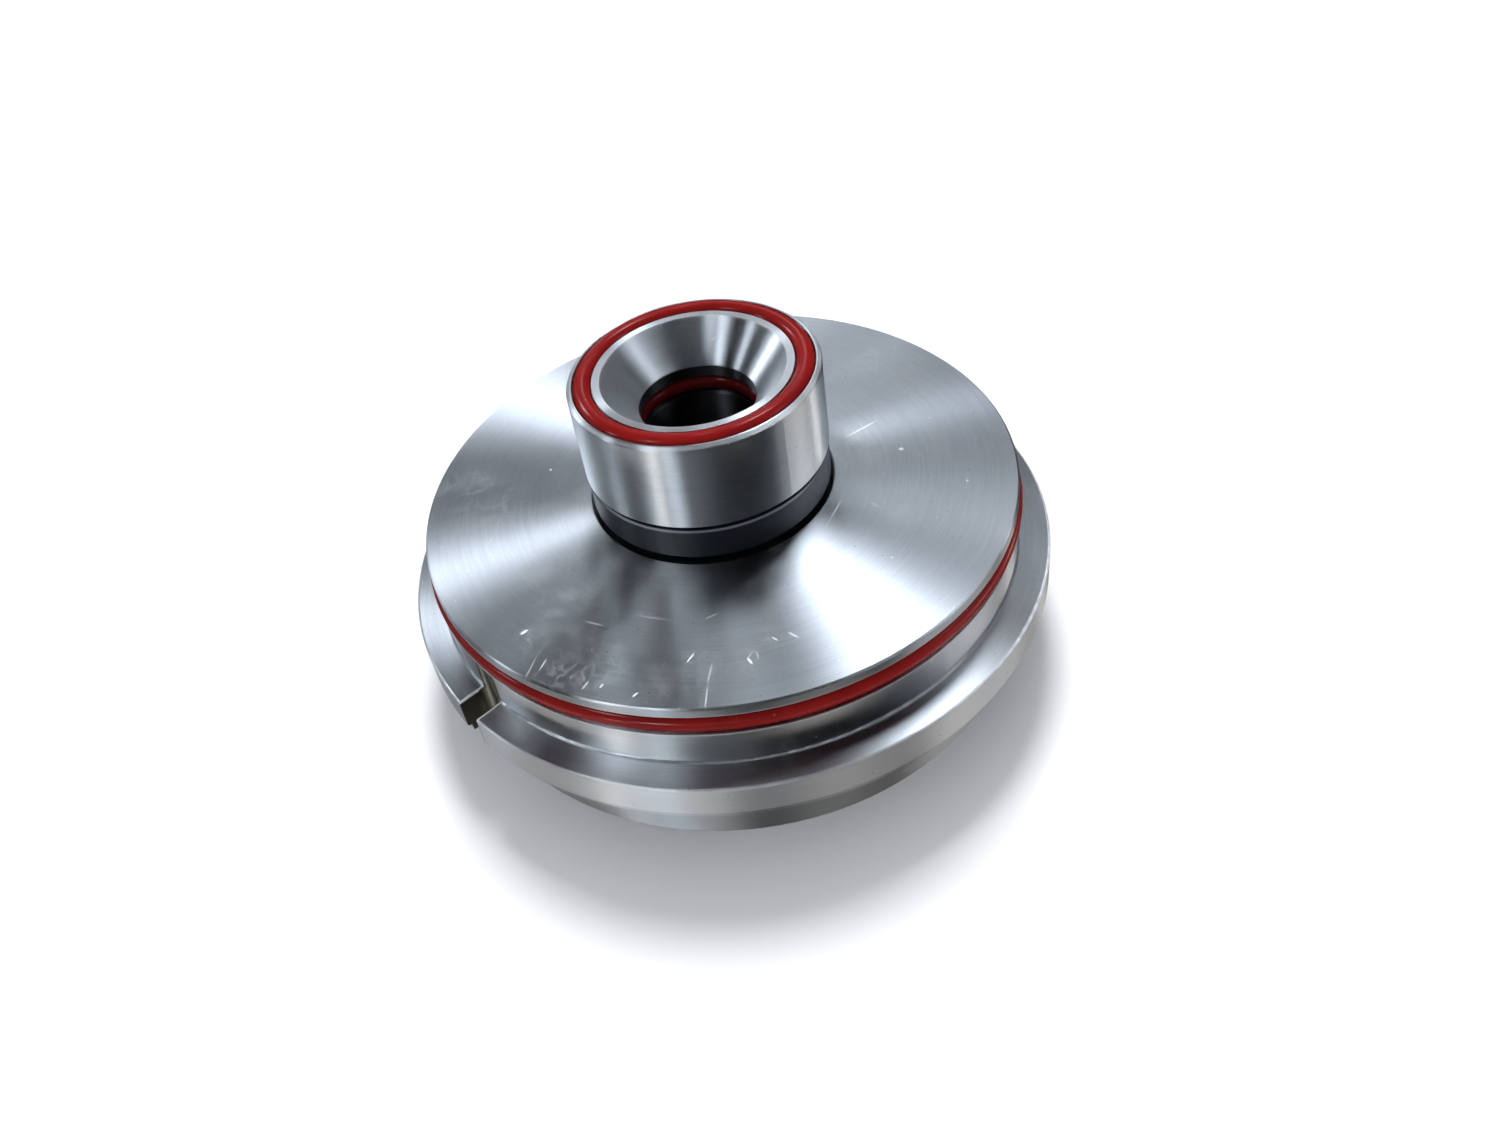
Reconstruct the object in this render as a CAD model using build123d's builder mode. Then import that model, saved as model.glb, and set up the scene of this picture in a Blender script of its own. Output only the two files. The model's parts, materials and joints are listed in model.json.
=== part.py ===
from build123d import *
import os

# Cartridge mechanical seal for a 25 mm shaft, in millimetres.
# The shaft axis is Z. The gland plate stands on Z = 0 and the head of the sleeve is on top.
#
# How it works: the gland plate is fixed in the pump. The shaft sleeve turns with the shaft and
# carries the rotary ring. The stationary ring is pushed up against it by coil springs, and two
# pins keep it from turning. The sleeve, both seal rings and the thrust ring can be pushed down
# together until the thrust ring is close to the floor of its chamber. A washer and a retaining
# ring at the tail of the sleeve stop the springs from pushing the cartridge apart.

# ---------------------------------------------------------------- driving dimensions
# Shaft sleeve
shaft_diameter = 25.0
sleeve_wall = 4.5
tail_lift = 3.2                # end of the sleeve above the plane the plate stands on
head_diameter = 53.0
head_height = 20.5
head_top_chamfer = 0.7
cone_mouth_diameter = 39.0
cone_depth = 8.2
cone_land = 2.8                # straight bore between the cone and the bore groove
tail_chamfer = 0.6
edge_break = 0.3               # chamfer on turned edges

# Gland plate
pilot_diameter = 130.0
pilot_height = 15.6            # shoulder of the flange to the front face
lip_height = 2.2               # lip above the groove of the pilot
lip_chamfer = 0.4
flange_overhang = 6.5          # flange beyond the pilot
flange_thickness = 7.6
flange_edge_radius = 0.5
step_inset = 1.0               # narrow turned step under the flange
step_height = 2.0
base_diameter = 129.0
base_height = 16.3             # underside of the flange above the base plane
base_chamfer = 0.5
corner_radius = 0.5            # root of the pilot
notch_width = 6.5              # slot in the flange for a locating pin
notch_bite = 0.8               # how far its round end cuts into the pilot
notch_run_up = 7.6             # how far the cutter ran up the pilot
notch_run_out = 0.5            # how far it ran out below the flange
rear_recess_diameter = 64.0
rear_recess_depth = 8.0

# Seal rings
sleeve_to_rotary_gap = 0.25
rotary_inset = 0.25            # rotary ring inside the outline of the head
rotary_disc_height = 7.2
rotary_shank_diameter = 43.2
rotary_shank_length = 7.7
head_gap = 1.2                 # open gap between the rotary ring and the head
face_rise = 1.1                # sealing face above the front of the plate
sleeve_to_stationary_gap = 1.0
nose_step = 3.5                # from the outside of the stationary ring in to its nose
nose_height = 3.7
stationary_inset = 0.35        # stationary ring inside the outline of the rotary ring
stationary_disc_height = 7.0
stationary_shank_wall = 2.4
shank_to_shoulder = 1.2        # end of the shank above the rear shoulder of the plate
ring_chamfer = 0.4
bore_to_rotary_gap = 0.5       # round the rotary ring, where it enters the plate

# Springs, thrust ring and pins
spring_count = 6
spring_diameter = 4.2
spring_wire = 0.7
spring_turns = 5.5
spring_seat_gap = 0.02
pocket_diameter = 4.8
pocket_depth = 7.2
pocket_inset = 0.15            # spring pockets inside the wall of the chamber
thrust_ring_thickness = 2.0
thrust_ring_gap = 0.45         # to the bore outside it and to the shank inside it
axial_travel = 2.5
travel_reserve = 0.6           # left under the thrust ring at full travel
pin_diameter = 3.0
pin_fit = 0.01                 # radial clearance of a pin in its own hole
pin_slot_gap = 0.3             # each side of a pin in the slot that it drives
stationary_pin_depth = 8.0     # in the plate
stationary_pin_reach = 8.4     # above the chamber floor
stationary_pin_wall = 1.4      # plate left between these pins and the bore
drive_pin_depth = 4.5          # in the head
drive_pin_reach = 3.5          # below the seat of the rotary ring
slot_end_gap = 0.4

# O-rings: section and how far each stands proud of its groove
o_ring_slack = 0.05            # between an O-ring and a wall that it does not press on
gland_ring_section = 4.0
gland_ring_proud = 0.6
gland_groove_width = 5.2
face_ring_section = 4.0
face_ring_proud = 0.9
face_groove_land = 1.1         # head left outside the groove
face_groove_gap = 0.15
bore_ring_section = 3.5
bore_ring_proud = 0.4
bore_groove_width = 4.6
stationary_ring_section = 2.65
stationary_groove_width = 3.6
stationary_groove_height = 3.6  # lower side of that groove above the rear shoulder
rotary_ring_section = 2.65
rotary_groove_height = 3.3
rotary_shank_fit = 0.15        # radial clearance of the rotary ring's shank in the head
stationary_shank_fit = 0.3     # radial clearance of the stationary ring's shank in the plate

# Stop washer and retaining ring at the tail of the sleeve
washer_diameter = 49.0
washer_thickness = 1.5
washer_gap = 0.2
clip_thickness = 1.5
clip_groove_depth = 0.85
clip_groove_gap = 0.1
clip_width = 3.2
clip_opening = 8.0
lug_radius = 2.4
lug_hole_diameter = 1.9

# ---------------------------------------------------------------- levels and radii
shaft_radius = shaft_diameter / 2
sleeve_radius = shaft_radius + sleeve_wall
head_radius = head_diameter / 2
pilot_radius = pilot_diameter / 2
flange_radius = pilot_radius + flange_overhang
base_radius = base_diameter / 2
step_radius = flange_radius - step_inset

shoulder_level = base_height + flange_thickness
face_level = shoulder_level + pilot_height
seal_level = face_level + face_rise
rotary_disc_top = seal_level + rotary_disc_height
rotary_seat_level = rotary_disc_top + rotary_shank_length
head_bottom = rotary_disc_top + head_gap
head_top = head_bottom + head_height
cone_bottom = head_top - cone_depth
bore_groove_top = cone_bottom - cone_land

stationary_top = seal_level - nose_height
stationary_back = stationary_top - stationary_disc_height
thrust_ring_bottom = stationary_back - thrust_ring_thickness
chamber_floor = thrust_ring_bottom - axial_travel - travel_reserve
pocket_floor = chamber_floor - pocket_depth
shank_end = rear_recess_depth + shank_to_shoulder

rotary_radius = head_radius - rotary_inset
rotary_bore_radius = sleeve_radius + sleeve_to_rotary_gap
rotary_shank_radius = rotary_shank_diameter / 2
stationary_radius = rotary_radius - stationary_inset
nose_radius = stationary_radius - nose_step
stationary_bore_radius = sleeve_radius + sleeve_to_stationary_gap
stationary_shank_radius = stationary_bore_radius + stationary_shank_wall
front_bore_radius = rotary_radius + bore_to_rotary_gap
hub_bore_radius = stationary_shank_radius + stationary_shank_fit
pin_radius = pin_diameter / 2
spring_circle_radius = front_bore_radius - pocket_inset - pocket_diameter / 2
stationary_pin_circle_radius = hub_bore_radius + stationary_pin_wall + pin_radius
drive_pin_circle_radius = (rotary_bore_radius + rotary_shank_radius) / 2
face_groove_outer = head_radius - face_groove_land
face_ring_circle_radius = face_groove_outer - face_groove_gap - face_ring_section / 2


# ---------------------------------------------------------------- shared steps
def turned_edge(part, radius, height):
    """The round edges of a part at one radius and one height."""
    round_edges = part.edges().filter_by(GeomType.CIRCLE)
    at_height = round_edges.filter_by(lambda e: abs(e.arc_center.Z - height) < 1e-4)
    return at_height.filter_by(lambda e: abs(e.radius - radius) < 1e-4)


def o_ring(circle_radius, section, height):
    """A moulded ring of round section."""
    with BuildPart() as ring:
        with BuildSketch(Plane.XZ):
            with Locations((circle_radius, height)):
                Circle(section / 2)
        revolve(axis=Axis.Z)
    return ring.part


def cylinder_pin(x, y, bottom, top):
    """A parallel pin with broken edges."""
    with BuildPart() as pin:
        with BuildSketch(Plane.XY.offset(bottom)):
            with Locations((x, y)):
                Circle(pin_radius)
        extrude(amount=top - bottom)
        chamfer(pin.edges().filter_by(GeomType.CIRCLE), length=edge_break)
    return pin.part


def save(part, name):
    """Labels one piece and writes it as a STEP file."""
    part.label = name
    export_step(part, "parts/" + name + ".step")


os.makedirs("parts", exist_ok=True)

# ---------------------------------------------------------------- gland plate
gland_groove_top = face_level - lip_height
gland_groove_bottom = gland_groove_top - gland_groove_width
gland_ring_circle_radius = pilot_radius + gland_ring_proud - gland_ring_section / 2
gland_groove_floor = gland_ring_circle_radius - gland_ring_section / 2 - o_ring_slack
stationary_ring_circle_radius = stationary_shank_radius + o_ring_slack + stationary_ring_section / 2
stationary_groove_floor = stationary_ring_circle_radius + stationary_ring_section / 2 + o_ring_slack
stationary_groove_bottom = rear_recess_depth + stationary_groove_height
stationary_groove_top = stationary_groove_bottom + stationary_groove_width
notch_end_radius = notch_width / 2
notch_centre_y = -(pilot_radius - notch_bite + notch_end_radius)
notch_top = shoulder_level + notch_run_up
notch_bottom = base_height - step_height - notch_run_out

with BuildPart() as gland_plate:
    with BuildSketch(Plane.XZ):
        with BuildLine():
            Polyline(
                (hub_bore_radius, rear_recess_depth),
                (rear_recess_diameter / 2, rear_recess_depth),
                (rear_recess_diameter / 2, 0),
                (base_radius, 0),
                (base_radius, base_height - step_height),
                (step_radius, base_height - step_height),
                (step_radius, base_height),
                (flange_radius, base_height),
                (flange_radius, shoulder_level),
                (pilot_radius, shoulder_level),
                (pilot_radius, face_level),
                (front_bore_radius, face_level),
                (front_bore_radius, chamber_floor),
                (hub_bore_radius, chamber_floor),
                close=True,
            )
        make_face()
    revolve(axis=Axis.Z)
    fillet(turned_edge(gland_plate, pilot_radius, shoulder_level), corner_radius)
    fillet(turned_edge(gland_plate, flange_radius, shoulder_level), flange_edge_radius)
    chamfer(turned_edge(gland_plate, pilot_radius, face_level), lip_chamfer)
    chamfer(turned_edge(gland_plate, flange_radius, base_height), edge_break)
    chamfer(turned_edge(gland_plate, base_radius, 0), base_chamfer)
    chamfer(turned_edge(gland_plate, rear_recess_diameter / 2, 0), base_chamfer)
    chamfer(turned_edge(gland_plate, front_bore_radius, face_level), edge_break)
    with BuildSketch(Plane.XZ):
        with Locations((gland_groove_floor, gland_groove_bottom)):
            Rectangle(flange_radius - gland_groove_floor, gland_groove_width, align=Align.MIN)
    revolve(axis=Axis.Z, mode=Mode.SUBTRACT)
    with BuildSketch(Plane.XZ):
        with Locations((0, stationary_groove_bottom)):
            Rectangle(stationary_groove_floor, stationary_groove_width, align=Align.MIN)
    revolve(axis=Axis.Z, mode=Mode.SUBTRACT)
    with BuildSketch(Plane.XY.offset(chamber_floor)):
        with PolarLocations(spring_circle_radius, spring_count, start_angle=180 / spring_count):
            Circle(pocket_diameter / 2)
    extrude(amount=-pocket_depth, mode=Mode.SUBTRACT)
    with BuildSketch(Plane.XY.offset(chamber_floor)):
        with PolarLocations(stationary_pin_circle_radius, 2):
            Circle(pin_radius + pin_fit)
    extrude(amount=-stationary_pin_depth, mode=Mode.SUBTRACT)
    with BuildSketch(Plane.XY.offset(notch_bottom)):
        with Locations((0, notch_centre_y)):
            Circle(notch_end_radius)
        with Locations((0, notch_centre_y)):
            Rectangle(notch_width, flange_radius, align=(Align.CENTER, Align.MAX))
    extrude(amount=notch_top - notch_bottom, mode=Mode.SUBTRACT)
save(gland_plate.part, "gland_plate")

gland_ring_level = (gland_groove_bottom + gland_groove_top) / 2
save(o_ring(gland_ring_circle_radius, gland_ring_section, gland_ring_level), "gland_o_ring")

stationary_ring_level = (stationary_groove_bottom + stationary_groove_top) / 2
save(
    o_ring(stationary_ring_circle_radius, stationary_ring_section, stationary_ring_level),
    "stationary_o_ring",
)

# Two pins in the chamber floor keep the stationary ring from turning.
for index, side in enumerate((1, -1), start=1):
    anti_rotation_pin = cylinder_pin(
        side * stationary_pin_circle_radius,
        0,
        chamber_floor - stationary_pin_depth,
        chamber_floor + stationary_pin_reach,
    )
    save(anti_rotation_pin, f"anti_rotation_pin_{index}")

# ---------------------------------------------------------------- springs
# Each spring is one helix of round wire, ground flat at both ends.
spring_length = thrust_ring_bottom - pocket_floor - 2 * spring_seat_gap
spring_coil_radius = (spring_diameter - spring_wire) / 2

with BuildPart() as spring_blank:
    with BuildLine() as coil_path:
        Helix(pitch=spring_length / spring_turns, height=spring_length, radius=spring_coil_radius)
    with BuildSketch(Plane(coil_path.line @ 0, z_dir=coil_path.line % 0)):
        Circle(spring_wire / 2)
    sweep(is_frenet=True)
    with BuildSketch():
        Circle(spring_diameter)
    extrude(amount=spring_length, mode=Mode.INTERSECT)

spring_places = PolarLocations(spring_circle_radius, spring_count, start_angle=180 / spring_count)
for index, place in enumerate(spring_places, start=1):
    spring = Pos(0, 0, pocket_floor + spring_seat_gap) * place * spring_blank.part
    save(spring, f"spring_{index}")

# ---------------------------------------------------------------- stationary pack
with BuildPart() as thrust_ring:
    with BuildSketch(Plane.XY.offset(thrust_ring_bottom)):
        Circle(front_bore_radius - thrust_ring_gap)
        Circle(stationary_shank_radius + thrust_ring_gap, mode=Mode.SUBTRACT)
        with PolarLocations(stationary_pin_circle_radius, 2):
            Circle(pin_radius + pin_slot_gap, mode=Mode.SUBTRACT)
    extrude(amount=thrust_ring_thickness)
save(thrust_ring.part, "thrust_ring")

with BuildPart() as stationary_ring:
    with BuildSketch(Plane.XZ):
        with BuildLine():
            Polyline(
                (stationary_bore_radius, shank_end),
                (stationary_shank_radius, shank_end),
                (stationary_shank_radius, stationary_back),
                (stationary_radius, stationary_back),
                (stationary_radius, stationary_top),
                (nose_radius, stationary_top),
                (nose_radius, seal_level),
                (stationary_bore_radius, seal_level),
                close=True,
            )
        make_face()
    revolve(axis=Axis.Z)
    chamfer(turned_edge(stationary_ring, stationary_radius, stationary_top), ring_chamfer)
    chamfer(turned_edge(stationary_ring, stationary_radius, stationary_back), ring_chamfer)
    chamfer(turned_edge(stationary_ring, stationary_shank_radius, shank_end), ring_chamfer)
    with BuildSketch(Plane.XY.offset(stationary_back)):
        for side in (0, 180):
            with Locations(Location((0, 0), side)):
                with Locations((stationary_pin_circle_radius - pin_radius - pin_slot_gap, 0)):
                    Rectangle(
                        stationary_radius,
                        pin_diameter + 2 * pin_slot_gap,
                        align=(Align.MIN, Align.CENTER),
                    )
    extrude(amount=stationary_disc_height, mode=Mode.SUBTRACT)
save(stationary_ring.part, "stationary_ring")

# ---------------------------------------------------------------- rotor
rotary_groove_radius = rotary_shank_radius + rotary_ring_section + 2 * o_ring_slack
rotary_groove_top = head_bottom + rotary_groove_height
bore_groove_bottom = bore_groove_top - bore_groove_width
bore_ring_circle_radius = shaft_radius - bore_ring_proud + bore_ring_section / 2
bore_groove_floor = bore_ring_circle_radius + bore_ring_section / 2 + o_ring_slack
face_groove_inner = face_ring_circle_radius - face_ring_section / 2 - face_groove_gap
face_ring_level = head_top + face_ring_proud - face_ring_section / 2
face_groove_floor = face_ring_level - face_ring_section / 2 - o_ring_slack
washer_bottom = rear_recess_depth - washer_thickness
clip_bottom = washer_bottom - clip_thickness
clip_groove_bottom = clip_bottom - clip_groove_gap
clip_groove_floor = sleeve_radius - clip_groove_depth

with BuildPart() as shaft_sleeve:
    with BuildSketch(Plane.XZ):
        with BuildLine():
            Polyline(
                (shaft_radius, tail_lift),
                (sleeve_radius, tail_lift),
                (sleeve_radius, rotary_seat_level),
                (rotary_shank_radius + rotary_shank_fit, rotary_seat_level),
                (rotary_shank_radius + rotary_shank_fit, rotary_groove_top),
                (rotary_groove_radius, rotary_groove_top),
                (rotary_groove_radius, head_bottom),
                (head_radius, head_bottom),
                (head_radius, head_top),
                (cone_mouth_diameter / 2, head_top),
                (shaft_radius, cone_bottom),
                close=True,
            )
        make_face()
    revolve(axis=Axis.Z)
    chamfer(turned_edge(shaft_sleeve, head_radius, head_top), head_top_chamfer)
    chamfer(turned_edge(shaft_sleeve, head_radius, head_bottom), edge_break)
    chamfer(turned_edge(shaft_sleeve, sleeve_radius, tail_lift), tail_chamfer)
    chamfer(turned_edge(shaft_sleeve, shaft_radius, tail_lift), tail_chamfer)
    with BuildSketch(Plane.XZ):
        with Locations((face_groove_inner, face_groove_floor)):
            Rectangle(face_groove_outer - face_groove_inner, face_ring_section, align=Align.MIN)
    revolve(axis=Axis.Z, mode=Mode.SUBTRACT)
    with BuildSketch(Plane.XZ):
        with Locations((0, bore_groove_bottom)):
            Rectangle(bore_groove_floor, bore_groove_width, align=Align.MIN)
    revolve(axis=Axis.Z, mode=Mode.SUBTRACT)
    chamfer(turned_edge(shaft_sleeve, shaft_radius, bore_groove_bottom), edge_break)
    with BuildSketch(Plane.XZ):
        with Locations((clip_groove_floor, clip_groove_bottom)):
            Rectangle(2 * clip_groove_depth, washer_bottom - clip_groove_bottom, align=Align.MIN)
    revolve(axis=Axis.Z, mode=Mode.SUBTRACT)
    with BuildSketch(Plane.XY.offset(rotary_seat_level)):
        with PolarLocations(drive_pin_circle_radius, 2, start_angle=90):
            Circle(pin_radius + pin_fit)
    extrude(amount=drive_pin_depth, mode=Mode.SUBTRACT)
save(shaft_sleeve.part, "shaft_sleeve")

save(
    o_ring(face_ring_circle_radius, face_ring_section, face_ring_level),
    "sleeve_face_o_ring",
)
bore_ring_level = (bore_groove_bottom + bore_groove_top) / 2
save(
    o_ring(bore_ring_circle_radius, bore_ring_section, bore_ring_level),
    "sleeve_bore_o_ring",
)

with BuildPart() as rotary_ring:
    with BuildSketch(Plane.XZ):
        with BuildLine():
            Polyline(
                (rotary_bore_radius, seal_level),
                (rotary_radius, seal_level),
                (rotary_radius, rotary_disc_top),
                (rotary_shank_radius, rotary_disc_top),
                (rotary_shank_radius, rotary_seat_level),
                (rotary_bore_radius, rotary_seat_level),
                close=True,
            )
        make_face()
    revolve(axis=Axis.Z)
    chamfer(turned_edge(rotary_ring, rotary_radius, rotary_disc_top), ring_chamfer)
    chamfer(turned_edge(rotary_ring, rotary_radius, seal_level), edge_break)
    with BuildSketch(Plane.XY.offset(rotary_seat_level)):
        with Locations((0, drive_pin_circle_radius), (0, -drive_pin_circle_radius)):
            Rectangle(pin_diameter + 2 * pin_slot_gap, 3 * pin_diameter)
    extrude(amount=-(drive_pin_reach + slot_end_gap), mode=Mode.SUBTRACT)
save(rotary_ring.part, "rotary_ring")

rotary_ring_circle_radius = rotary_shank_radius + o_ring_slack + rotary_ring_section / 2
rotary_ring_level = rotary_groove_top - rotary_ring_section / 2 - o_ring_slack
save(o_ring(rotary_ring_circle_radius, rotary_ring_section, rotary_ring_level), "rotary_o_ring")

# Two pins in the head drive the rotary ring.
for index, side in enumerate((1, -1), start=1):
    drive_pin = cylinder_pin(
        0,
        side * drive_pin_circle_radius,
        rotary_seat_level - drive_pin_reach,
        rotary_seat_level + drive_pin_depth,
    )
    save(drive_pin, f"drive_pin_{index}")

with BuildPart() as stop_washer:
    with BuildSketch(Plane.XY.offset(washer_bottom)):
        Circle(washer_diameter / 2)
        Circle(sleeve_radius + washer_gap, mode=Mode.SUBTRACT)
    extrude(amount=washer_thickness)
    chamfer(turned_edge(stop_washer, washer_diameter / 2, washer_bottom), edge_break)
save(stop_washer.part, "stop_washer")

# The retaining ring is open, with a lug and a plier hole on each side of its opening.
clip_inner = clip_groove_floor + o_ring_slack
clip_outer = clip_inner + clip_width
lug_x = clip_opening / 2 + lug_radius
lug_y = (clip_outer ** 2 - lug_x ** 2) ** 0.5

with BuildPart() as retaining_ring:
    with BuildSketch(Plane.XY.offset(clip_bottom)):
        Circle(clip_outer)
        with Locations((lug_x, lug_y), (-lug_x, lug_y)):
            Circle(lug_radius)
        Circle(clip_inner, mode=Mode.SUBTRACT)
        with Locations((0, clip_outer)):
            Rectangle(clip_opening, 2 * clip_width + 2 * lug_radius, mode=Mode.SUBTRACT)
        with Locations((lug_x, lug_y), (-lug_x, lug_y)):
            Circle(lug_hole_diameter / 2, mode=Mode.SUBTRACT)
    extrude(amount=clip_thickness)
save(retaining_ring.part, "retaining_ring")
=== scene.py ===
# %% [markdown]
# # Cartridge mechanical seal
#
# A cartridge mechanical seal keeps liquid in where a shaft leaves a pump. This one has a turned
# steel gland plate, a steel sleeve with a round head, two dark seal rings that rub face to face,
# and red O-rings. The solids, their joints and their sizes come from the CAD frame. Each solid
# keeps its mesh and gets its finish here, and the springs get welded copies. A floor, a studio
# to be mirrored in the steel, a lamp and a camera follow.

import bmesh
import bpy
import json
import math
import numpy as np
from collections import namedtuple
from mathutils import Matrix, Vector


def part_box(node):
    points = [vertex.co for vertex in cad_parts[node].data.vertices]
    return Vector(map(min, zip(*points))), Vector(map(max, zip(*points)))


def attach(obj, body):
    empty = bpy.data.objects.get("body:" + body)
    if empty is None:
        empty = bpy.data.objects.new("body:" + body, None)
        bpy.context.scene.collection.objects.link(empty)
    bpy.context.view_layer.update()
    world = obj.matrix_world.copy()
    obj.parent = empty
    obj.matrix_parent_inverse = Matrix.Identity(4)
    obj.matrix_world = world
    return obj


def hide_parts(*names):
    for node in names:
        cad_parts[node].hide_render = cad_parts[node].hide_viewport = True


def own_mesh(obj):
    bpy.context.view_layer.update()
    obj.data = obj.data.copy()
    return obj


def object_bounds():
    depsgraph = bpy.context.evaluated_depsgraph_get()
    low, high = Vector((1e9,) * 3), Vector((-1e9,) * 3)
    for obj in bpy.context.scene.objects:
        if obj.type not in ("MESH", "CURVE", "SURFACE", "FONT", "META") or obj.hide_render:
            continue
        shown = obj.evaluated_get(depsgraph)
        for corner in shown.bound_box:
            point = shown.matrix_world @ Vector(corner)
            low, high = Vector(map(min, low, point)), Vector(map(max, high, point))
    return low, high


MM = 0.001

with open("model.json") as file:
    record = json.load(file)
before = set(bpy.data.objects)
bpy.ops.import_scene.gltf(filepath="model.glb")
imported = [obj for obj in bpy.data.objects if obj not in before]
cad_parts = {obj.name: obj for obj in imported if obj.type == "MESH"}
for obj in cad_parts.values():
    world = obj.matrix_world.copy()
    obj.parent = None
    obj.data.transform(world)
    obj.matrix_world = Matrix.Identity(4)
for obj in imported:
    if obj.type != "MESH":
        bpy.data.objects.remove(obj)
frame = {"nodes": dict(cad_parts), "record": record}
nodes = frame["nodes"]
cad_low, cad_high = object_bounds()
print("CAD box, mm:", [round((b - a) / MM, 2) for a, b in zip(cad_low, cad_high)])

# %% [markdown]
# ## Shader maths as Python
#
# A material is a graph of nodes. Wiring dozens of Math nodes by hand hides what they compute, so
# a small class wraps an output socket and gives it the usual operators. `1 - mask * 0.5` then
# adds the nodes that compute it.

# %% A socket that can be added, multiplied and compared
class Value:
    """One output of a shader node. An operator on it adds the Math node that does the sum."""

    def __init__(self, paint, socket):
        self.paint = paint
        self.socket = socket

    def math(self, operation, other=0.0):
        return self.paint.node("ShaderNodeMath", {"operation": operation}, {0: self, 1: other})[0]

    def __add__(self, other):
        return self.math("ADD", other)

    def __sub__(self, other):
        return self.math("SUBTRACT", other)

    def __mul__(self, other):
        return self.math("MULTIPLY", other)

    def __truediv__(self, other):
        return self.math("DIVIDE", other)

    def __pow__(self, other):
        return self.math("POWER", other)

    def __neg__(self):
        return self * -1

    def __radd__(self, other):
        return self + other

    def __rmul__(self, other):
        return self * other

    def __rsub__(self, other):
        return self.paint.node("ShaderNodeMath", {"operation": "SUBTRACT"}, {0: other, 1: self})[0]

    def __lt__(self, other):
        return self.math("LESS_THAN", other)

    def clamp(self):
        return self.math("MAXIMUM", 0.0).math("MINIMUM", 1.0)


print("sockets take:", "+ - * / ** <")


# %% A material that is built by method calls
class Paint:
    """A material under construction. node() adds any node: its settings, then its sockets."""

    def __init__(self, name):
        self.material = bpy.data.materials.new(name)
        self.material.use_nodes = True
        self.tree = self.material.node_tree
        self.tree.nodes.clear()
        self.output = self.tree.nodes.new("ShaderNodeOutputMaterial")

    def feed(self, socket, value):
        """Links a Value to a socket, or sets a number, a vector or a colour on it."""
        if isinstance(value, Value):
            self.tree.links.new(value.socket, socket)
        elif socket.type == "RGBA":
            socket.default_value = (*value, 1)
        else:
            socket.default_value = value

    def node(self, kind, settings=None, inputs=None):
        """Adds a node and returns its outputs. inputs are known by name or by number."""
        made = self.tree.nodes.new(kind)
        for key, value in (settings or {}).items():
            setattr(made, key, value)
        for key, value in (inputs or {}).items():
            self.feed(made.inputs[key], value)
        return [Value(self, s) for s in made.outputs if s.enabled]

    def point(self):
        """The point in the object's own space, in metres. It is the node's fourth output."""
        return self.node("ShaderNodeTexCoord")[3]

    def split(self, vector):
        """X, Y and Z of a vector."""
        return self.node("ShaderNodeSeparateXYZ", inputs={0: vector})

    def vector(self, x, y, z):
        return self.node("ShaderNodeCombineXYZ", inputs={0: x, 1: y, 2: z})[0]

    def noise(self, where, scale, detail=3.0, roughness=0.5):
        """Soft noise from about 0 to 1."""
        return self.node(
            "ShaderNodeTexNoise",
            {"noise_dimensions": "3D"},
            {"Vector": where, "Scale": scale, "Detail": detail, "Roughness": roughness},
        )[0]

    def step(self, value, low, high):
        """0 below low, 1 above high, smooth between."""
        return self.node(
            "ShaderNodeMapRange",
            {"interpolation_type": "SMOOTHSTEP"},
            {"Value": value, "From Min": low, "From Max": high, "To Min": 0.0, "To Max": 1.0},
        )[0]

    def mix(self, amount, first, second):
        """A colour between two colours. Sockets 0, 6 and 7 are the amount and the colours."""
        made = self.tree.nodes.new("ShaderNodeMix")
        made.data_type = "RGBA"
        for slot, value in zip((0, 6, 7), (amount, first, second)):
            self.feed(made.inputs[slot], value)
        return Value(self, made.outputs[2])

    def finish(self, colour, roughness, metallic=0.0, bump=None, bump_distance=0.0, **constants):
        """Closes the material with one Principled shader. constants go on its own sockets."""
        shader = self.tree.nodes.new("ShaderNodeBsdfPrincipled")
        self.feed(shader.inputs["Base Color"], colour)
        self.feed(shader.inputs["Roughness"], roughness)
        self.feed(shader.inputs["Metallic"], metallic)
        for key, value in constants.items():
            shader.inputs[key.replace("_", " ")].default_value = value
        if bump is not None:
            relief = {"Height": bump, "Distance": bump_distance}
            self.feed(shader.inputs["Normal"], self.node("ShaderNodeBump", inputs=relief)[0])
        self.tree.links.new(shader.outputs[0], self.output.inputs[0])
        return self.material


print("materials can be built")

# %% [markdown]
# ## Turned stainless steel
#
# The cutter of a lathe leaves a fine groove round the axis on every face. Along a groove the
# metal is smooth and across it it is rough, so a light is drawn out into a bright wedge that
# points to the axis. The shader's own anisotropy does that. With no tangent given, Blender
# takes the direction round the Z axis and lays the greater roughness along it, so a quarter
# turn of Anisotropic Rotation puts it across the grooves, where it belongs. On top of it go
# rings that are a little lighter or darker, frosted patches, scratches, dings and dark specks
# of grime, and each piece can add painted highlights along its edges and painted shade in its
# hollows.

# %% Where a point lies round the axis
NEVER_ZERO = 1e-12
WALL_RINGS = 1.37  # rings per mm up a wall, for each ring per mm across a flat face

Place = namedtuple("Place", "point x y z radius cosine sine")


def turned_place(paint):
    """The point, its X, Y and Z, its radius, and the cosine and sine of its angle round Z."""
    point = paint.point()
    x, y, z = paint.split(point)
    radius = (x * x + y * y + NEVER_ZERO) ** 0.5
    return Place(point, x, y, z, radius, x / radius, y / radius)


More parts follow.
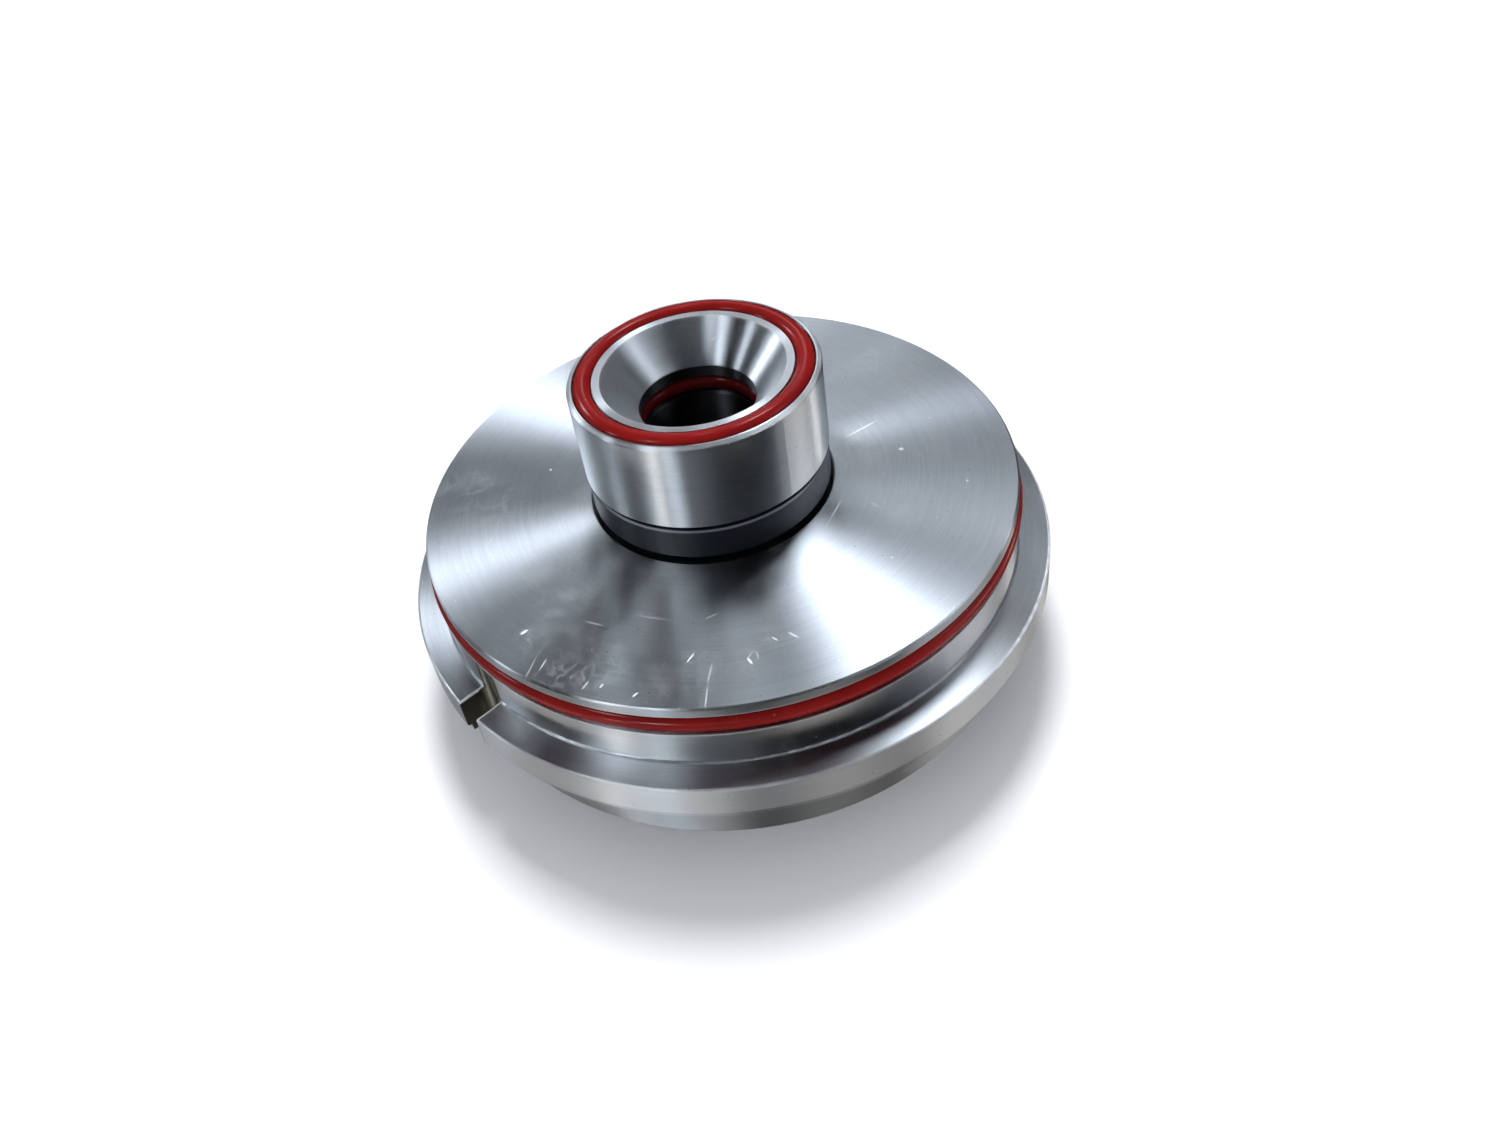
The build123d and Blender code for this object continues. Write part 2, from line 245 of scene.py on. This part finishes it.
def tool_rings(paint, place, per_mm, smear):
    """Noise that changes fast across the grooves and slowly along them, from about 0 to 1."""
    across = (place.radius + place.z * WALL_RINGS) * (per_mm / MM)
    along = (place.cosine * smear, place.sine * smear)
    return paint.noise(paint.vector(*along, across), 1.0, detail=2.0)


print("place:", Place._fields)


# %% Masks and sums
EDGE_CORE = 0.55  # the share of an edge's reach that has its full strength


def all_of(first, *others):
    """The strongest of several masks."""
    for other in others:
        first = first.math("MAXIMUM", other)
    return first


def sway(first, *others):
    """The sum of several noises, each moved to lie about 0 and multiplied by its weight."""
    noise, weight = first
    total = (noise - 0.5) * weight
    for noise, weight in others:
        total = total + (noise - 0.5) * weight
    return total


def tinted(paint, shade, tone):
    """A colour from its red, green and blue, with the same shade added to each."""
    return paint.vector(*[shade + part for part in tone])


def beyond(paint, value, low, high):
    """0 below low and 1 above high. In mm."""
    return paint.step(value, low * MM, high * MM)


def band(paint, value, low, high, soft):
    """1 between low and high, fading to 0 over the distance soft on each side. In mm."""
    return beyond(paint, value, low - soft, low) * (1 - beyond(paint, value, high, high + soft))


def turned_edge(paint, place, radius, height, reach):
    """1 on the turned edge of that radius and height, and 0 further away than reach. In mm."""
    out = place.radius - radius * MM
    up = place.z - height * MM
    away = (out * out + up * up) ** 0.5
    return 1 - paint.step(away, reach * EDGE_CORE * MM, reach * MM)


print("masks ready, edge core", EDGE_CORE)


# %% Scratches and dings
MARK_CORE = 0.22  # a strewn mark is full this far from its cell's middle, in cells
MARK_RIM = 0.48  # and has faded out here
SCRATCH_CORE = 0.55  # a placed scratch is full this far from its middle, in radii of its ball
SCRATCH_DEPTH = 1.0  # mm above and below the face that a placed scratch reaches


def dashes(paint, where, angle, length, width, share, seed):
    """Short straight marks at one angle, strewn at random. Lengths are in mm.

    Space is stretched so that one mark's length and width both become one unit, and is filled
    with random cells. A mark is the middle of a cell, and only the given share of cells has one.
    Its strength is a random number from 0.3 to 1."""
    turned = paint.node(
        "ShaderNodeMapping",
        {"vector_type": "POINT"},
        {
            "Vector": where,
            "Rotation": (0.0, 0.0, math.radians(angle)),
            "Location": (seed, seed, 0.0),
        },
    )[0]
    stretch = (1 / (length * MM), 1 / (width * MM), 1 / (length * MM))
    cells = paint.node(
        "ShaderNodeVectorMath", {"operation": "MULTIPLY"}, {0: turned, 1: stretch}
    )[0]
    to_cell = {"Vector": cells, "Scale": 1.0}
    distance, chance = paint.node("ShaderNodeTexVoronoi", inputs=to_cell)[:2]
    pick = paint.node("ShaderNodeSeparateColor", inputs={0: chance})
    strength = pick[1] * 0.7 + 0.3
    return (1 - paint.step(distance, MARK_CORE, MARK_RIM)) * (pick[0] < share) * strength


def scratch(paint, place, level, mark):
    """One scratch of a known place: middle x and y, angle, length, width and strength.

    Space is moved, turned and divided so that the scratch becomes a ball of radius 1. The ball
    is a little wider than the scratch, because its rim fades out."""
    x, y, angle, length, width, strength = mark
    ball = paint.node(
        "ShaderNodeMapping",
        {"vector_type": "TEXTURE"},
        {
            "Vector": place.point,
            "Location": (x * MM, y * MM, level * MM),
            "Rotation": (0.0, 0.0, math.radians(angle)),
            "Scale": (length * 0.55 * MM, width * 0.62 * MM, SCRATCH_DEPTH * MM),
        },
    )[0]
    away = paint.node("ShaderNodeVectorMath", {"operation": "LENGTH"}, {0: ball})[-1]
    return (1 - paint.step(away, SCRATCH_CORE, 1.0)) * strength


print("a placed scratch reaches, mm:", SCRATCH_DEPTH)


# %% Handling marks
LONG_SHARE, SHORT_SHARE, DING_SHARE = 0.0022, 0.008, 0.006  # of the cells have such a mark
BEND = 0.0012  # metres that noise moves a mark sideways, so that long ones aren't straight


def strewn_marks(paint, place, amount, seed):
    """Long fine scratches, short ones in loose groups, pale pin-point dings, and scribbles.

    A scribble follows the curve on which a noise is at its middle value. The numbers of dashes()
    are the angle, length, width, share of the cells and seed."""
    where = place.point
    bent = paint.noise(where, 60.0, detail=1.0) * BEND
    x, y, z = paint.split(where)
    bowed = paint.vector(x + bent, y - bent, z)
    long_share, short_share = LONG_SHARE * amount, SHORT_SHARE * amount
    long_marks = all_of(
        dashes(paint, bowed, 38 + seed, 12.0, 0.26, long_share, seed),
        dashes(paint, bowed, 96 - seed, 9.0, 0.24, long_share, seed + 1),
    )
    short_marks = all_of(
        dashes(paint, bowed, 52 + seed, 3.4, 0.30, short_share, seed + 3),
        dashes(paint, bowed, 71 + seed, 2.2, 0.28, short_share, seed + 4),
        dashes(paint, bowed, -47 - seed, 1.6, 0.30, short_share, seed + 5),
    )
    groups = paint.step(paint.noise(where, 48.0 + seed, detail=1.0), 0.52, 0.62)
    dings = dashes(paint, where, 15, 0.66, 0.50, DING_SHARE * amount, seed + 7)
    curl = (paint.noise(bowed, 260.0 + seed, detail=2.0) - 0.5).math("ABSOLUTE")
    rubbed = paint.step(paint.noise(where, 41.0 + seed, detail=3.0), 0.48, 0.66)
    scribbles = (1 - paint.step(curl, 0.010, 0.055)) * rubbed
    return all_of(
        long_marks * 0.4,
        short_marks * (groups * 0.6 + 0.2),
        dings * 0.75,
        scribbles * (0.14 * amount),
    )


print("handling marks ready")


# %% Steel finish
RING_DEPTH = 0.000006  # metres from the top of a tool ring to its bottom
ACROSS = 0.25  # a quarter turn, which lays the greater roughness across the grooves
# the colour of rubbed marks and frost, and of the painted highlights along edges
WORN_AND_HIGHLIGHT_METAL = (0.80, 0.82, 0.83)
SPECK_GREY = (0.05, 0.05, 0.055)


def no_places(paint, place):
    """For a piece with no pale places and no painted shade of its own."""
    return 0.0, 0.0, SPECK_GREY


def turned_steel(name, tone, roughness, anisotropy, amount, seed, places=no_places):
    """Turned steel: grey with rings, arcs along the grooves, frosted patches, marks and dark
    specks.

    amount scales the marks. places is a function that gives this piece's own masks: where it is
    pale, with wear and painted highlights, where it has painted shade, and the colour of that
    shade. Pale metal is rough and less metallic."""
    paint = Paint(name)
    place = turned_place(paint)
    fine = tool_rings(paint, place, 10.0, 7.0)
    wide = tool_rings(paint, place, 0.8, 0.9)
    arcs = tool_rings(paint, place, 2.6, 4.0)
    cloud = paint.noise(place.point, 38.0, detail=3.0)
    patches = paint.noise(place.point, 90.0 + seed, detail=6.0, roughness=0.68)
    frost = paint.step(patches, 0.50, 0.74) * (0.13 * amount)
    specks = dashes(paint, place.point, 40, 0.50, 0.36, 0.0025 * amount, seed + 20) * 0.8
    # own masks: pale wear with painted edge highlights, painted shade, and the colour of that
    # shade
    own_pale_and_highlight, own_shade, own_shade_tone = places(paint, place)
    pale = all_of(strewn_marks(paint, place, amount, seed), frost, own_pale_and_highlight)
    shade = sway((fine, 0.16), (wide, 0.06), (arcs, 0.10), (cloud, 0.08))
    metal = paint.mix(pale, tinted(paint, shade, tone), WORN_AND_HIGHLIGHT_METAL)
    metal = paint.mix(specks, metal, SPECK_GREY)
    metal = paint.mix(own_shade, metal, own_shade_tone)
    rough = sway((arcs, 0.03), (cloud, 0.06)) + pale * 0.25 + own_shade * 0.12 + roughness
    return paint.finish(
        metal,
        rough.clamp(),
        metallic=(1 - pale).clamp(),
        bump=fine + arcs * 0.3,
        bump_distance=RING_DEPTH,
        Anisotropic=anisotropy,
        Anisotropic_Rotation=ACROSS,
    )


print("depth of a tool ring, mm:", RING_DEPTH / MM)


# %% Gland plate: the known scratches of its face
plate_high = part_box("gland_plate")[1]
face_level = plate_high[2] / MM

# Middle x and y in mm, angle in degrees, length and width in mm, and strength.
known_scratches = [
    (14.0, 33.0, 81, 9.5, 0.60, 1.0),
    (28.5, 9.0, 111, 9.5, 0.36, 0.6),
    (41.5, -38.0, -52, 5.5, 0.30, 0.6),
    (45.5, -42.5, -47, 6.0, 0.34, 0.6),
    (36.0, -38.0, 105, 3.0, 0.42, 0.9),
    (31.0, -28.0, 73, 3.0, 0.40, 0.7),
    (22.5, -36.0, 31, 9.5, 0.36, 0.4),
    (14.5, -45.0, 24, 4.5, 0.36, 0.4),
    (5.5, -56.0, 90, 2.0, 0.75, 1.0),
    (15.5, -58.5, 116, 3.5, 0.36, 0.6),
    (14.5, -61.0, 121, 7.5, 0.30, 0.4),
    (26.0, -56.0, 107, 2.7, 0.40, 0.6),
    (28.5, -54.0, 107, 1.5, 0.50, 0.8),
    (35.0, -51.0, 93, 1.6, 0.50, 0.8),
    (46.5, -21.0, 8, 3.0, 0.46, 0.9),
    (45.0, -31.0, -12, 2.2, 0.55, 1.0),
    (45.0, -29.0, -35, 2.6, 0.32, 0.5),
    (44.0, -30.0, 108, 2.8, 0.32, 0.5),
    (44.5, -24.0, 5, 1.8, 0.45, 0.8),
    (25.5, 33.0, 38, 1.3, 0.90, 0.8),
    (33.5, 16.0, 1, 3.0, 0.40, 0.5),
    (43.0, 33.5, 0, 0.65, 0.65, 0.9),
    (-32.0, -21.5, 0, 0.70, 0.70, 0.9),
    (46.5, 6.5, 0, 0.60, 0.60, 0.9),
]
print("face at, mm:", round(face_level, 3), "with", len(known_scratches), "known scratches")


# %% Gland plate: its rim, painted highlights on its edges, and painted shade in the slot and on the walls
flange_radius = plate_high[0] / MM
pilot_radius = 65.0  # the disc in front, with the O-ring groove in its wall
pilot_groove = (32.1, 37.3)  # the levels of the groove's two edges
root_radius = 65.2  # the rounded root of the pilot, where it stands on the flange
flange_top = 23.9  # the level of the flange's upper face
flange_wall = (16.6, 23.5)  # levels of the flange's outer wall, between its broken edges
under_flange = (14.1, 16.4)  # levels of the narrow step between the base and the flange
lip_wall = (37.0, 39.2)  # levels of the thin lip in front of the O-ring
slot_half_width = 3.5  # a little beyond the slot's walls
slot_levels = (13.0, 31.6)  # from below the flange to where the cutter ran up the pilot
slot_end = -63.5  # the y just inside the slot's inner end
# the slot's corner at the top of the flange has a burr and a painted highlight along it
burr_highlight_levels = (23.5, 24.1)  # the bright corner of the slot, at the top of the flange
# colours of the painted shade: olive in the slot, blue-grey on the lip's wall and under the flange
slot_shade_tone = (0.13, 0.12, 0.08)
wall_shade_tone = (0.17, 0.20, 0.24)
SHARP = 0.1  # mm over which the masks below fade out


def plate_places(paint, place):
    """Pale: the known scratches, a painted highlight along the turned edges and the slot's burred
    corner, and the duller rim. Dark: painted shade in the slot, on the wall of the lip and on the
    base and the step under the flange."""
    z, radius = place.z, place.radius
    # painted highlight along the turned edges, broken up by noise
    edge_highlights = all_of(
        turned_edge(paint, place, pilot_radius, pilot_groove[0], 0.35),
        turned_edge(paint, place, pilot_radius, pilot_groove[1], 0.35),
        turned_edge(paint, place, root_radius, flange_top, 0.40),
        turned_edge(paint, place, flange_radius, flange_top, 0.60),
    )
    broken = paint.noise(place.point, 400.0, detail=2.0) * 0.5 + 0.10
    rim = beyond(paint, radius, flange_radius - 0.3, flange_radius - 0.1)
    rim = rim * band(paint, z, *flange_wall, 0.2)
    side = place.x.math("ABSOLUTE")
    # the slot, which gets painted shade
    slot = 1 - beyond(paint, side, slot_half_width - 0.1, slot_half_width)
    slot = slot * (1 - beyond(paint, place.y, slot_end, slot_end + 0.5))
    slot = slot * band(paint, z, *slot_levels, SHARP)
    # painted highlight on the burr at the slot's top corner
    burr_highlight = band(paint, side, slot_half_width - 0.35, slot_half_width + 0.05, SHARP)
    burr_highlight = burr_highlight * band(paint, z, *burr_highlight_levels, SHARP)
    pale = all_of(
        edge_highlights * broken,
        rim * 0.17,
        burr_highlight * 0.8,
        *[scratch(paint, place, face_level, mark) for mark in known_scratches],
    )
    # painted shade on the lip's wall, and painted shadow on the base and the step under the flange
    lip_shade = beyond(paint, radius, pilot_radius - 0.5, pilot_radius - 0.2)
    lip_shade = lip_shade * band(paint, z, *lip_wall, SHARP)
    base_shadow = 1 - beyond(paint, z, under_flange[0] - 0.2, under_flange[0])
    step_shadow = band(paint, z, *under_flange, SHARP)
    dark = all_of(slot * (1 - burr_highlight) * 0.9, lip_shade * 0.40, base_shadow * 0.42, step_shadow * 0.22)
    return pale, dark, paint.mix(slot, wall_shade_tone, slot_shade_tone)


bright_tone = (0.570, 0.590, 0.610)
bright_roughness = 0.34
plate_steel = turned_steel(
    "plate_steel", bright_tone, bright_roughness, 1.0, amount=1.0, seed=3.0, places=plate_places
)
print("gland plate:", plate_steel.name, len(plate_steel.node_tree.nodes), "nodes")


# %% Sleeve and its head: the pale ring, painted highlights on the edges and painted shade in the bore
head_edges = (
    (26.2, 69.3, 0.50),  # the outer edge of the head
    (19.5, 69.4, 0.30),  # the rim of the cone
    (26.5, 49.0, 0.40),  # the lower edge of the head
)
pale_ring = (19.65, 21.05)  # radii of the flat ring between the cone and the O-ring groove
ring_level = 69.40  # just under its face
bore_reach = 16.5  # takes in the bore and its O-ring groove
bore_top = 60.9  # just below the end of the cone
# the colour of the painted shade in the bore
bore_shade_tone = (0.035, 0.035, 0.04)


def sleeve_places(paint, place):
    """Pale: the flat ring round the cone, faced with a coarser feed, and a painted highlight along
    the edges. Dark: painted shade in the bore. An edge is given by its radius, its level and its
    reach in mm."""
    z, radius = place.z, place.radius
    broken = paint.noise(place.point, 500.0, detail=2.0) * 0.5 + 0.05
    # painted highlight along the edges, broken up by noise
    edge_highlights = all_of(*[turned_edge(paint, place, *edge) for edge in head_edges])
    face = band(paint, radius, *pale_ring, 0.05) * beyond(paint, z, ring_level, ring_level + 0.06)
    # painted shade in the bore
    shaded_bore = 1 - beyond(paint, radius, bore_reach, bore_reach + 0.2)
    shaded_bore = shaded_bore * (1 - beyond(paint, z, bore_top, bore_top + 0.3))
    return all_of(face * 0.18, edge_highlights * broken), shaded_bore * 0.9, bore_shade_tone


sleeve_steel = turned_steel(
    "sleeve_steel", bright_tone, bright_roughness, 1.0, amount=0.5, seed=11.0, places=sleeve_places
)
small_steel = turned_steel("small_steel", (0.50, 0.51, 0.52), 0.30, 0.4, amount=0.5, seed=21.0)
print("steel:", plate_steel.name, sleeve_steel.name, small_steel.name)

# %% [markdown]
# ## Spring steel
#
# The springs are drawn wire and the retaining ring is a stamping. Both are darker than turned
# steel, with faint lines from the die and no turning rings.

# %% Spring finish
paint = Paint("spring_steel")
point = paint.point()
grain = paint.noise(point, 900.0, detail=3.0)
stain = paint.noise(point, 160.0, detail=2.0)
spring_steel = paint.finish(
    tinted(paint, sway((grain, 0.10), (stain, 0.16)), (0.36, 0.365, 0.37)),
    sway((grain, 0.2)) + 0.34,
    metallic=1.0,
    bump=grain,
    bump_distance=0.00001,
)
print("spring steel:", spring_steel.name)

# %% [markdown]
# ## Red rubber
#
# O-rings are moulded and polished, and are wiped with grease before they go in. The rubber is a
# deep red with a soft body, and the grease gives it small sharp highlights, which a clear coat
# makes. A few specks of dust and a very faint flow pattern keep it from looking like plastic.
# The ring in the bore sits in the dark, and painted shade makes its red deeper there.

# %% Rubber finish
paint = Paint("red_rubber")
place = turned_place(paint)
flow = paint.noise(place.point, 90.0, detail=3.0)
pores = paint.noise(place.point, 2600.0, detail=2.0)
dust = paint.step(paint.noise(place.point, 1900.0, detail=1.0), 0.76, 0.80)
# painted shade on the O-ring in the bore
shaded_in_bore = 1 - beyond(paint, place.radius, bore_reach, bore_reach + 0.5)
red = paint.mix(paint.step(flow, 0.35, 0.65), (0.18, 0.004, 0.004), (0.22, 0.006, 0.005))
red = paint.mix(dust * 0.25, red, (0.62, 0.35, 0.32))
red = paint.mix(shaded_in_bore * 0.7, red, (0.03, 0.001, 0.001))
red_rubber = paint.finish(
    red,
    sway((flow, 0.16)) + dust * 0.2 + 0.45,
    bump=pores,
    bump_distance=0.000004,
    Specular_IOR_Level=0.08,
    Coat_Weight=0.20,
    Coat_Roughness=0.05,
)
print("rubber:", red_rubber.name)

# %% [markdown]
# ## Silicon carbide
#
# The seal rings are silicon carbide, ground and lapped: a very dark grey with a blue tone, hard
# and smooth, with a satin side and fine grinding lines round it. The upper ring has a painted
# highlight, a thin pale line, along the edge where its corner is broken.

# %% Carbide finish
highlit_corner = (26.1, 47.7, 0.35)  # radius, level and reach in mm

paint = Paint("ring_carbide")
place = turned_place(paint)
grind = tool_rings(paint, place, 9.0, 3.0)
grain = paint.noise(place.point, 2200.0, detail=2.0)
chips = paint.step(paint.noise(place.point, 1300.0, detail=1.0), 0.77, 0.79)
# painted highlight along the upper ring's broken corner
corner = turned_edge(paint, place, *highlit_corner)
dark = tinted(paint, sway((grain, 0.010), (grind, 0.006)), (0.006, 0.008, 0.012))
dark = paint.mix(chips * 0.4, dark, (0.10, 0.11, 0.13))
dark = paint.mix(corner * 0.8, dark, (0.16, 0.18, 0.21))
ring_carbide = paint.finish(
    dark,
    sway((grind, 0.12), (grain, 0.08)) + 0.32,
    bump=grind,
    bump_distance=0.000006,
    IOR=1.7,
    Anisotropic=0.5,
)
print("carbide:", ring_carbide.name)

# %% [markdown]
# ## Dress the solids
#
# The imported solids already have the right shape, so each keeps its mesh, and the record says
# which finish it takes.

# %% Give each solid its finish
finishes = {
    "plate_steel": plate_steel,
    "sleeve_steel": sleeve_steel,
    "small_steel": small_steel,
    "spring_steel": spring_steel,
    "rubber": red_rubber,
    "ring_carbide": ring_carbide,
}
for entry in frame["record"]["subparts"]:
    for material_slot in nodes[entry["node"]].material_slots:
        material_slot.material = finishes[entry["material_slot"]]
    print(entry["node"], "->", entry["material_slot"])

# %% [markdown]
# ## Copies of the springs
#
# Neither of the two parts that a coil spring lies between can carry it: when the seal ring is
# pushed back, the spring's lower end stays in its pocket and its upper end goes down. So each
# packed coil gets a welded copy on the housing, and the share of its length that it would keep
# at the end of travel is printed.

# %% Copy each coil and hang it on the housing
WELD = 0.0000005  # metres within which two corners are one


def welded_copy(solid, name):
    """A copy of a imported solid. Its loose triangles are joined where their corners meet."""
    copy = bpy.data.objects.new(name, solid.data.copy())
    bpy.context.scene.collection.objects.link(copy)
    mesh = bmesh.new()
    mesh.from_mesh(copy.data)
    bmesh.ops.remove_doubles(mesh, verts=mesh.verts, dist=WELD)
    mesh.to_mesh(copy.data)
    mesh.free()
    return copy


joints = {joint["name"]: joint for joint in frame["record"]["behaviour"]["joints"]}
travel = abs(joints["pack_slide"]["range_m"][0])
for name in sorted(name for name in nodes if name.startswith("spring_")):
    low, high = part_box(name)
    coil = welded_copy(nodes[name], name.replace("spring", "coil"))
    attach(coil, "housing")
    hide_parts(name)
    seat = ((low[0] + high[0]) / 2, (low[1] + high[1]) / 2, low[2])
    keep = 1 - travel / (high[2] - low[2])
    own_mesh(coil)
    print(coil.name, "keeps", round(keep, 3), "of its length at the end of travel")

# %% [markdown]
# ## Floor
#
# The part stands on a plain pale floor, wide enough to reach the horizon. Bare metal shows what
# is round it more than it shows itself, and the soft boxes of the next step reach below the
# level of the floor, so mirrored rays pass through the wide floor. A small disc under the part
# is seen by them, so that the bore stays dark.

# %% A wide floor, and a small one for the bore
def flat_sheet(name, count, radius, height, start=0.0):
    """A flat sheet: one face through count points at radius * (cos(t), sin(t)) and one height.

    t goes once round from start."""
    t = start + np.linspace(0, 2 * np.pi, count, endpoint=False)
    rim = np.stack([radius * np.cos(t), radius * np.sin(t), np.full(count, height)], axis=1)
    mesh = bpy.data.meshes.new(name)
    mesh.from_pydata(rim.tolist(), [], [tuple(range(count))])
    sheet = bpy.data.objects.new(name, mesh)
    bpy.context.scene.collection.objects.link(sheet)
    return sheet


half_floor = 30.0  # metres from the middle of the square floor to its side
bore_floor = 0.063  # metres, a little less than the radius of the base
floor = flat_sheet("floor", 4, half_floor * math.sqrt(2), cad_low.z - 0.00005, math.pi / 4)
shaded_floor = flat_sheet("shaded_floor", 96, bore_floor, cad_low.z - 0.00003)
white = Paint("floor_white").finish((0.86, 0.86, 0.86), 0.6)
for sheet in (floor, shaded_floor):
    sheet.data.materials.append(white)
floor.visible_glossy = False
print("floor, m:", 2 * half_floor, "disc, mm:", round(bore_floor / MM))

# %% [markdown]
# ## Studio
#
# The turned face throws each light back as a pair of bright wedges, and each wall as a streak,
# so the studio is a painted sky of 21 soft boxes. A least-squares fit of those wedges and
# streaks gave their places and strengths, which were then rounded. Only mirrored rays see the
# boxes. All other rays see an even pale light, and the camera sees white.


# %% A sky painted with soft boxes
class Sky(Paint):
    """The world's own node tree, built with the same methods as a material."""

    def __init__(self, name):
        world = bpy.data.worlds.new(name)
        world.use_nodes = True
        world.cycles.sampling_method = "NONE"
        self.tree = world.node_tree
        self.tree.nodes.clear()
        self.output = self.tree.nodes.new("ShaderNodeOutputWorld")
        bpy.context.scene.world = world
        self.azimuth, self.elevation = self.directions()

    def directions(self):
        """Azimuth round Z and elevation above the floor of the direction looked in, in radians."""
        where = self.node("ShaderNodeTexCoord")[0]
        where = self.node("ShaderNodeVectorMath", {"operation": "NORMALIZE"}, {0: where})[0]
        x, y, z = self.split(where)
        return y.math("ARCTAN2", x), z.math("ARCSINE")

    def box(self, azimuth, elevation, half_width, half_height, brightness):
        """A soft box with no hard edge. Angles are in degrees.

        Its light is brightness * exp(-(1 - cos(turn)) / width^2 - rise^2 / (2 height^2))."""
        turn = (self.azimuth - math.radians(azimuth)).math("COSINE")
        rise = (self.elevation - math.radians(elevation)) / math.radians(half_height)
        fall = (1 - turn) / math.radians(half_width) ** 2 + rise * rise * 0.5
        return (-fall).math("EXPONENT") * brightness

    def glow(self, boxes):
        """The light of several soft boxes together."""
        total = self.box(*boxes[0])
        for box in boxes[1:]:
            total = total + self.box(*box)
        return total


print("sky ready")

# %% The soft boxes
# Azimuth, elevation, half width and half height in degrees, and brightness.
high_boxes = [
    (108, 65, 3.1, 4.4, 29),
    (144, 65, 3.4, 5.5, 5.8),
    (118, 60, 6.7, 3, 29),
    (266, 47, 4.7, 3, 22),
    (106, 42, 11.9, 3.4, 1.6),
    (136, 33, 5.2, 4, 5.1),
    (40, 31, 7.4, 3.7, 4.6),
    (190, 28, 4.8, 3, 28),
    (50, 23, 2.9, 5.8, 0.7),
    (237, 21, 2.6, 4.4, 13.3),
    (157, 15, 2.5, 23.3, 1.3),
    (293, 10, 3.9, 3.8, 23),
    (313, 6, 9.5, 3.2, 2),
    (218, 3, 7.7, 3, 2.3),
]
low_boxes = [
    (280, -8, 3.2, 3.8, 12),
    (46, -8, 10.6, 3, 8.2),
    (69, -9, 3, 4.8, 8.6),
    (253, -34, 20.6, 3, 3.6),
    (350, -44, 15.5, 6.3, 2),
    (40, -53, 7, 8.7, 3.8),
    (298, -59, 8.9, 8, 2.9),
]
print("soft boxes:", len(high_boxes), "above the floor and", len(low_boxes), "below it")

# %% Light for each kind of ray
COOL = (0.92, 1, 1.10)
WARM = (1.06, 1, 0.93)
AMBIENT = (0.69, 0.70, 0.75)
BACKDROP = (0.98, 0.98, 0.98)

sky = Sky("studio")
high = sky.glow(high_boxes)
low = sky.glow(low_boxes)
cool = sky.vector(*[high * part for part in COOL])
warm = sky.vector(*[low * part for part in WARM])
mirrored = sky.node("ShaderNodeVectorMath", {"operation": "ADD"}, {0: cool, 1: warm})[0]
rays = {ray.socket.name: ray for ray in sky.node("ShaderNodeLightPath")}
even = sky.mix(rays["Is Camera Ray"], AMBIENT, BACKDROP)
light = sky.mix(rays["Is Glossy Ray"], even, mirrored)
background = sky.node("ShaderNodeBackground", inputs={"Color": light, "Strength": 1.0})[0]
sky.tree.links.new(background.socket, sky.output.inputs[0])
print("world nodes:", len(sky.tree.nodes))


# %% The lamp that throws the shadow
def far_lamp(name, azimuth, elevation, width, strength):
    """A sun lamp, which lights the whole floor evenly. Its direction and width are in degrees."""
    a, e = math.radians(azimuth), math.radians(elevation)
    back = Vector((math.cos(a) * math.cos(e), math.sin(a) * math.cos(e), math.sin(e)))
    lamp = bpy.data.lights.new(name, "SUN")
    lamp.energy = strength
    lamp.angle = math.radians(width)
    holder = bpy.data.objects.new(name, lamp)
    holder.location = back
    holder.rotation_mode = "QUATERNION"
    holder.rotation_quaternion = back.to_track_quat("Z", "Y")
    bpy.context.scene.collection.objects.link(holder)
    return holder


shadow_lamp = far_lamp("shadow_lamp", azimuth=136, elevation=57, width=17, strength=2.7)
shadow_lamp.visible_glossy = False
bpy.context.scene.view_settings.view_transform = "Standard"
print("lamp:", shadow_lamp.name, "strength", shadow_lamp.data.energy)

# %% [markdown]
# ## Camera
#
# The camera stands about 27 cm from the part, looks down at 40 degrees and is tilted to one
# side. Its sensor is shifted a little, because the part is off the middle of the frame.

# %% Camera
eye = Vector((170.335, -122.507, 213.421)) * MM
heading, look_down, tilt = 150.0, 40.03, -13.80  # degrees, with the heading counted from X

camera_data = bpy.data.cameras.new("camera")
camera_data.sensor_width = 36.0
camera_data.lens = 29.418
camera_data.shift_x = 0.0874
camera_data.shift_y = -0.0386
camera_data.clip_start = 0.01
camera_data.clip_end = 20.0
camera = bpy.data.objects.new("camera", camera_data)
turn = Matrix.Rotation(math.radians(heading - 90), 4, "Z")
nod = Matrix.Rotation(math.radians(90 - look_down), 4, "X")
roll = Matrix.Rotation(math.radians(tilt), 4, "Z")
camera.matrix_world = Matrix.Translation(eye) @ turn @ nod @ roll
bpy.context.scene.collection.objects.link(camera)
bpy.context.scene.camera = camera
bpy.context.view_layer.update()
print("camera at", [round(v, 4) for v in camera.location])
